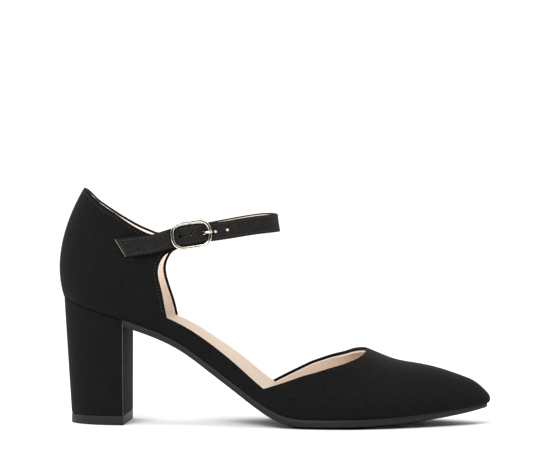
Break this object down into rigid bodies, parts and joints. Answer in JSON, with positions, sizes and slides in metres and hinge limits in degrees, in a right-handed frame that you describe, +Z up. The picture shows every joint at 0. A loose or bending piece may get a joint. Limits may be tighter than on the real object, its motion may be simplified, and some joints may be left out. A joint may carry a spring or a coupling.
{
  "type": "buckle pump",
  "caption": "Pointed two-piece pump for the right foot, with open arch, block heel and buckled ankle strap, in matte black fabric with a beige lining.",
  "frame": {"origin": "middle of the heel's ground face, on the floor", "axes": "+X from heel to toe, +Y to the inner side of the foot, +Z up"},
  "size_m": [0.2382, 0.0796, 0.1299],
  "materials": {
    "upper_fabric": "matte black microsuede with a fine even nap",
    "insole_leather": "smooth pale peach-beige insole leather, satin",
    "sole_rubber": "matte dark grey rubber, finely textured",
    "heel_cover": "the upper's matte black microsuede, glued tight round the block",
    "strap_fabric": "matte black microsuede with edge stitching, pale lining behind",
    "buckle_metal": "polished nickel silver"
  },
  "bodies": {
    "root": {"upper": "upper_fabric", "insole": "insole_leather", "outsole": "sole_rubber", "heel": "heel_cover", "heel_top_piece": "sole_rubber", "ankle_strap": "strap_fabric", "buckle_tab": "strap_fabric", "buckle_loop": "strap_fabric", "buckle_frame": "buckle_metal", "buckle_prong": "buckle_metal"}
  },
  "joints": []
}
